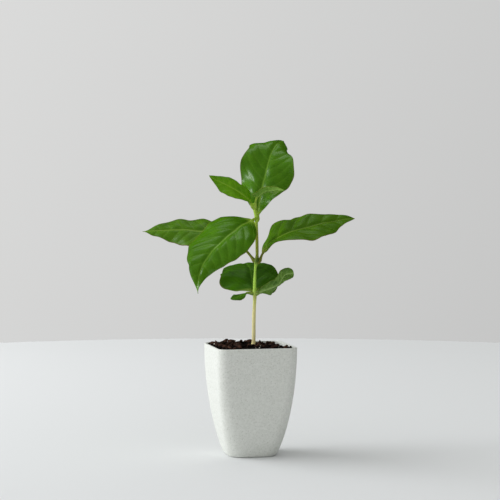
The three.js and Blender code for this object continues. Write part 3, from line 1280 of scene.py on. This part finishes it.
    def skin(self) -> Skin:
        """The leaf as one closed skin round a thin blade and a round stalk.

        Across each row the blade lies at fold times |v| plus cup times v squared of the half
        width, plus the margin's sine waves, the crumple, the swellings between veins and a
        valley at the midrib. Its upper and lower skins stand half the thickness off, and the
        rib, a round of the stalk's radius that tapers to the tip, stands out of both.

        Returns:
            The skin, with the layers, the plan and the numbers of the two finishes.
        """
        form = self.form
        points, way, heading, path, share = self.spine()
        whole = self.stalk + self.length
        half_columns = int(self.width / self.grain / form.grains_to_a_column)
        columns = 2 * max(half_columns, form.least_columns) + 1
        v = crowded(np.linspace(-1, 1, columns))[None]
        b, far = share[:, None], (path[:, None] * whole - self.stalk)
        swell = 1 + form.swelling * bell(path[:, None] * whole, form.swelling_length)
        taper = (self.tip_radius - self.stalk_radius) * b**form.rib_taper
        rib = (self.stalk_radius + taper) * swell
        bare = self.half_width(b, v)
        half = np.hypot(bare, rib)
        across = half * v * (1 + self.skew * np.sign(v))
        blade = smooth(*form.blade_shows, b)
        vein, swelling = self.veins(far, across, v)

        shape = half * (self.fold * np.sqrt(v**2 + form.crease_round) + self.cup * v**2)
        phase = self.phase[0] + np.where(v > 0, 0.0, self.phase[1])
        reach = self.wave * np.sqrt(np.clip(bare * self.width / 2, 0, None))
        shape = shape + reach * v**2 * np.sin(2 * np.pi * self.waves * b + phase)
        frill = np.sin(2 * np.pi * self.laterals * form.vein_span * b + phase * 2)
        shape = shape + form.frill * half * np.abs(v) ** 3 * frill
        uneven = wandering(far + 0 * across, across, form.crumple_size, self.seed)
        shape = shape + self.crumple * uneven
        shape = shape + self.quilt * (swelling - form.quilt_level)
        shape = shape - form.valley * bell(across, form.valley_width)
        sheet = shape * blade
        thick = self.thickness * blade * (1 - form.margin_thinning * np.abs(v)) + form.thinnest

        middle = sheet[:, columns // 2, None]
        bulge = np.sqrt(np.clip(rib**2 - across**2, 0, None))
        near = np.abs(across) < rib
        crest = middle + bulge * (1 - form.rib_above * blade) - form.rib_seat * blade
        keel = middle - bulge * (1 - form.rib_below * blade) + form.rib_seat * blade
        upper, lower = sheet + thick / 2, sheet - thick / 2
        lower = lower - form.vein_relief * vein * blade
        upper = np.where(near, np.maximum(upper, crest), upper)
        lower = np.where(near, np.minimum(lower, keel), lower)

        left = np.stack([-np.sin(heading), np.cos(heading), 0 * heading], -1)
        up = np.cross(way, left)
        roll = np.radians(along(self.roll, share))[:, None]
        side = left * np.cos(roll) + up * np.sin(roll)
        rise = up * np.cos(roll) - left * np.sin(roll)
        rings = np.concatenate([
            points[:, None] + across[..., None] * side[:, None] + z[..., None] * rise[:, None]
            for across, z in ((across, upper), (across[:, ::-1], lower[:, ::-1]))
        ], 1)

        skin = loft(turned(rings))
        width = form.midrib_width - form.midrib_thinning * b
        midrib = bell(across, width) * (1 - form.midrib_paling * b)
        pale = np.maximum(midrib, form.side_vein_share * vein) * blade
        dry_out = np.abs(v) + form.dry_tip_width * (b > form.dry_tip)
        dry = smooth(*form.dry_margin, dry_out) * blade
        on_rib = form.stalk_on_rib * bell(across, rib) * (1 - b) ** form.stalk_on_rib_power
        stalk = 1 - smooth(*form.stalk_fades, b) * (1 - on_rib)
        for name, values in (("vein", pale), ("edge", dry), ("stalk", stalk)):
            full = values + 0 * across
            skin.layers[name] = with_ends(np.concatenate([full, full[:, ::-1]], 1))
        plan = np.stack([far + 0 * across, across], -1)
        skin.plan = with_ends(np.concatenate([plan, plan[:, ::-1]], 1))
        below = np.zeros(2 * columns, int)
        below[columns:-1] = 1
        skin.quad_finish = np.tile(below, len(points) - 1)
        return skin

    def dress(self) -> bpy.types.Object:
        """Build the leaf and stand it in for its CAD solid.

        Returns:
            The piece.
        """
        slot = "young_blade" if self.age is Age.NEW else "leaf_blade"
        faces = LEAF_FINISHES[self.age]
        return self.skin().to_piece(self.name + "_blade", faces, slot, [self.name])


LEAVES = (
    Leaf(
        "leaf_first_back", Tier.FIRST, Age.FIRST, stalk=2.0, length=51, width=43,
        heading=(96, 103, 118), pitch=(36, 42, 9, -38), roll=(0, -6),
        fold=0.0, cup=-0.21, skew=0.02, taper=(0.40, 0.64),
        wave=0.11, waves=2.5, phase=(1.8, 2.1), seed=21, laterals=6,
        notches=(
            Notch(True, 0.28, -0.09, 0.06), Notch(True, 0.17, 0.03, 0.04),
            Notch(False, 0.5, -0.06, 0.08),
        ),
    ),
    Leaf(
        "leaf_first_right", Tier.FIRST, Age.FIRST, stalk=0.6, length=30, width=14,
        heading=(-26, 18, -13), pitch=(30, 27, 43, 1), roll=(-29, -52),
        fold=0.22, cup=-0.18, skew=0.02, taper=(0.48, 0.37),
        wave=0.0, waves=3.3, phase=(4.4, 2.7), seed=22, laterals=6, crumple=0.9, quilt=1.2,
        notches=(
            Notch(False, 0.85, -0.25, 0.15), Notch(True, 0.2, -0.45, 0.12),
            Notch(True, 0.55, -0.2, 0.05),
        ),
    ),
    Leaf(
        "leaf_first_left", Tier.FIRST, Age.FIRST, stalk=4.1, length=14, width=10,
        heading=(197, 224, 191), pitch=(17, -14, -16, -4), roll=(13, -31),
        fold=0.09, cup=-0.23, skew=-0.01, taper=(0.7, 0.7),
        wave=0.10, waves=1.5, phase=(5.6, 3.3), seed=23, laterals=5, quilt=0.15,
    ),
    Leaf(
        "leaf_second_left", Tier.SECOND, Age.MATURE, stalk=14.0, length=75, width=29,
        heading=(161, 169, 168), pitch=(55, 19, 0, -3), roll=(-41, -52),
        fold=0.05, cup=-0.15, skew=0.03, taper=(0.77, 1.24),
        wave=0.14, waves=1.5, phase=(4.6, 2.8), seed=24, quilt=0.5, stalk_radius=0.9,
        notches=(
            Notch(False, 0.56, 0.16, 0.05), Notch(False, 0.45, -0.17, 0.05),
            Notch(True, 0.68, 0.06, 0.05), Notch(False, 0.9, -0.38, 0.06),
            Notch(True, 0.92, -0.4, 0.05), Notch(False, 0.45, 0.07, 0.25),
            Notch(True, 0.35, -0.16, 0.1),
        ),
    ),
    Leaf(
        "leaf_second_right", Tier.SECOND, Age.MATURE, stalk=4.5, length=78.5, width=32,
        heading=(19, 23, 9), pitch=(73, 20, 12, 7), roll=(3, 50),
        fold=0.24, cup=-0.13, skew=-0.15, taper=(0.74, 1.01),
        wave=0.05, waves=2.7, phase=(3.2, 1.0), seed=25, laterals=6, quilt=0.9,
        notches=(
            Notch(True, 0.15, 0.24, 0.08), Notch(True, 0.31, -0.26, 0.1),
            Notch(True, 0.44, 0.06, 0.03), Notch(False, 0.46, -0.16, 0.12),
            Notch(True, 0.5, -0.1, 0.04), Notch(True, 0.75, 0.1, 0.12),
            Notch(False, 0.08, 0.55, 0.1), Notch(False, 0.82, 0.12, 0.05),
            Notch(False, 0.37, -0.05, 0.05), Notch(False, 0.7, -0.07, 0.1),
            Notch(False, 0.92, 0.22, 0.08),
        ),
        stalk_radius=0.82,
    ),
    Leaf(
        "leaf_third_front", Tier.THIRD, Age.FULL, stalk=3.5, length=78, width=39,
        heading=(-118, -147, -103), pitch=(-3, -33, -47, -84),
        roll=(-28, -29, -30, -31, -32, -33, -34, -28, 75),
        fold=0.08, cup=-0.25, skew=-0.07, taper=(0.87, 1.43),
        wave=0.02, waves=3.0, phase=(3.3, 5.3), seed=26, quilt=0.5,
        notches=(
            Notch(False, 0.03, 0.2, 0.03), Notch(False, 0.14, -0.22, 0.06),
            Notch(False, 0.28, -0.05, 0.06), Notch(False, 0.6, -0.12, 0.06),
            Notch(False, 0.72, -0.08, 0.05), Notch(False, 0.77, 0.06, 0.02),
        ),
    ),
    Leaf(
        "leaf_third_back", Tier.THIRD, Age.FULL, stalk=2.2, length=70, width=39,
        heading=(66, 60, 55), pitch=(85, 62, 59, 4), roll=(8, 29),
        fold=0.18, cup=-0.23, skew=0.01, taper=(1.1, 1.03),
        wave=0.18, waves=1.9, phase=(0.8, 5.6), seed=27,
        notches=(
            Notch(True, 0.4, 0.05, 0.07), Notch(True, 0.77, -0.26, 0.045),
            Notch(True, 0.91, 0.2, 0.05), Notch(False, 0.5, -0.05, 0.08),
            Notch(False, 0.79, 0.16, 0.06), Notch(False, 0.85, 0.1, 0.04),
            Notch(False, 0.95, -0.3, 0.06),
        ),
        stalk_radius=0.85,
    ),
    Leaf(
        "leaf_top_left", Tier.TOP, Age.NEW, stalk=2.3, length=37, width=15,
        heading=(227, 181, 186), pitch=(60, 34, 26, 37), roll=(-43, -54),
        fold=0.25, cup=-0.09, skew=0.08, taper=(0.61, 0.84),
        wave=0.09, waves=1.6, phase=(4.8, 2.1), seed=28, laterals=7, quilt=0.25,
        notches=(
            Notch(True, 0.5, -0.15, 0.25), Notch(True, 0.68, -0.14, 0.08),
            Notch(False, 0.3, -0.1, 0.1),
        ),
        stalk_radius=0.85,
    ),
    Leaf(
        "leaf_top_right", Tier.TOP, Age.NEW, stalk=7.9, length=27, width=10,
        heading=(-71, -48, -23), pitch=(92, 23, 9, -4), roll=(10, -58),
        fold=0.16, cup=-0.13, skew=-0.02, taper=(0.64, 1.08),
        wave=0.03, waves=3.0, phase=(2.6, 0.9), seed=29, laterals=6, quilt=0.15,
        notches=(Notch(False, 0.1, -0.8, 0.08), Notch(True, 0.5, -0.5, 0.2)),
    ),
)


# The studio


@dataclass(frozen=True)
class SoftBox:
    """One large soft lamp, placed in the plant's own frame and aimed at the plant.

    A lamp lights the surfaces themselves or, where glint is set, gives them gloss alone.
    """

    name: str
    place: tuple[float, float, float]
    width: float
    height: float
    power: float
    colour: str
    glint: bool = False

    def hang(self, aim: np.ndarray) -> None:
        """Make the lamp and turn its face to the aim.

        Args:
            aim: The point that it faces, in the plant's own frame.
        """
        lamp = bpy.data.lights.new(self.name, "AREA")
        lamp.shape = "RECTANGLE"
        lamp.size, lamp.size_y = self.width * MM, self.height * MM
        lamp.energy, lamp.color = self.power, linear(self.colour)[:3]
        holder = bpy.data.objects.new(self.name, lamp)
        holder.visible_diffuse = not self.glint
        holder.visible_glossy = self.glint
        bpy.context.scene.collection.objects.link(holder)
        holder.location = Vector(turned(np.array(self.place)) * MM)
        way = Vector(turned(aim) * MM) - holder.location
        holder.rotation_euler = way.to_track_quat("-Z", "Y").to_euler()


@dataclass(frozen=True)
class Studio:
    """A round pale floor, soft light from all round, soft lamps and the camera."""

    floor_radius: float = 850.0
    floor_sides: int = 180
    floor_drop: float = 0.05
    bright_air: str = "#fafaf9"
    dim_air: str = "#828383"
    bright_way: tuple[float, float, float] = (-0.85, 0.12, 0.51)
    camera_place: tuple[float, float, float] = (0.0, -1100.0, 189.0)
    camera_aim: tuple[float, float, float] = (0.0, 0.0, 145.1)
    lens: float = 111.8
    sensor: float = 36.0
    aim: tuple[float, float, float] = (0.0, 0.0, 110.0)
    lamps: tuple[SoftBox, ...] = (
        SoftBox("left_soft_box", (-1350.0, 280.0, 780.0), 1500.0, 1300.0, 21.0, "#fbfcff"),
        SoftBox("left_glint", (-1050.0, -330.0, 600.0), 160.0, 600.0, 6.5, "#fbfdff", True),
        SoftBox("top_sheen", (-150.0, 150.0, 1300.0), 700.0, 450.0, 1.9, "#fdfefa", True),
    )

    def lay_floor(self) -> None:
        """A flat round plate under the pot."""
        angle = 2 * np.pi * np.arange(self.floor_sides) / self.floor_sides
        rim = np.stack([np.cos(angle), np.sin(angle), 0 * angle], -1) * self.floor_radius
        rim[:, 2] = -self.floor_drop
        mesh = bpy.data.meshes.new("studio_floor")
        mesh.from_pydata((rim * MM).tolist(), [], [list(range(self.floor_sides))])
        mesh.materials.append(StudioPaint("matt_studio_paint", roughness=1.0, shine=0.0).material())
        floor = bpy.data.objects.new("studio_floor", mesh)
        bpy.context.scene.collection.objects.link(floor)

    def fill_air(self) -> None:
        """Soft light from every side, a little more from the bright way than from across it."""
        world = bpy.data.worlds.new("studio_air")
        bpy.context.scene.world = world
        world.use_nodes = True
        tree = world.node_tree
        towards = add_node(tree, "VectorMath", {
            0: add_node(tree, "TexCoord").outputs["Generated"],
            1: turned(np.array(self.bright_way)).tolist(),
        }, operation="DOT_PRODUCT")
        share = add_node(tree, "MapRange", {
            "Value": towards.outputs["Value"], "From Min": -1.0, "From Max": 1.0,
        })
        light = add_node(tree, "MixRGB", {
            "Fac": share.outputs[0], "Color1": linear(self.dim_air),
            "Color2": linear(self.bright_air),
        })
        tree.links.new(light.outputs["Color"], tree.nodes["Background"].inputs["Color"])
        world.cycles_visibility.glossy = False

    def set_camera(self) -> None:
        """The camera at the photograph's viewing angle."""
        data = bpy.data.cameras.new("camera")
        data.lens, data.sensor_width = self.lens, self.sensor
        camera = bpy.data.objects.new("camera", data)
        bpy.context.scene.collection.objects.link(camera)
        points = (self.camera_place, self.camera_aim)
        place, aim = (Vector(turned(np.array(point)) * MM) for point in points)
        camera.location = place
        camera.rotation_euler = (aim - place).to_track_quat("-Z", "Y").to_euler()
        bpy.context.scene.camera = camera

    def build(self) -> None:
        """Set up floor, air, lamps and camera, with plain colour handling."""
        bpy.context.scene.view_settings.view_transform = "Standard"
        self.lay_floor()
        self.fill_air()
        for lamp in self.lamps:
            lamp.hang(np.array(self.aim))
        self.set_camera()


def main() -> None:
    """Build the pot, the mix, the stem, the leaves and the studio in that order."""
    logging.basicConfig(level=logging.INFO, format="%(message)s")
    pot = Pot()
    pot.dress()
    PottingMix(pot).dress()
    Stem().dress()
    for leaf in LEAVES:
        leaf.dress()
    Studio().build()


if __name__ == "__main__":
    main()
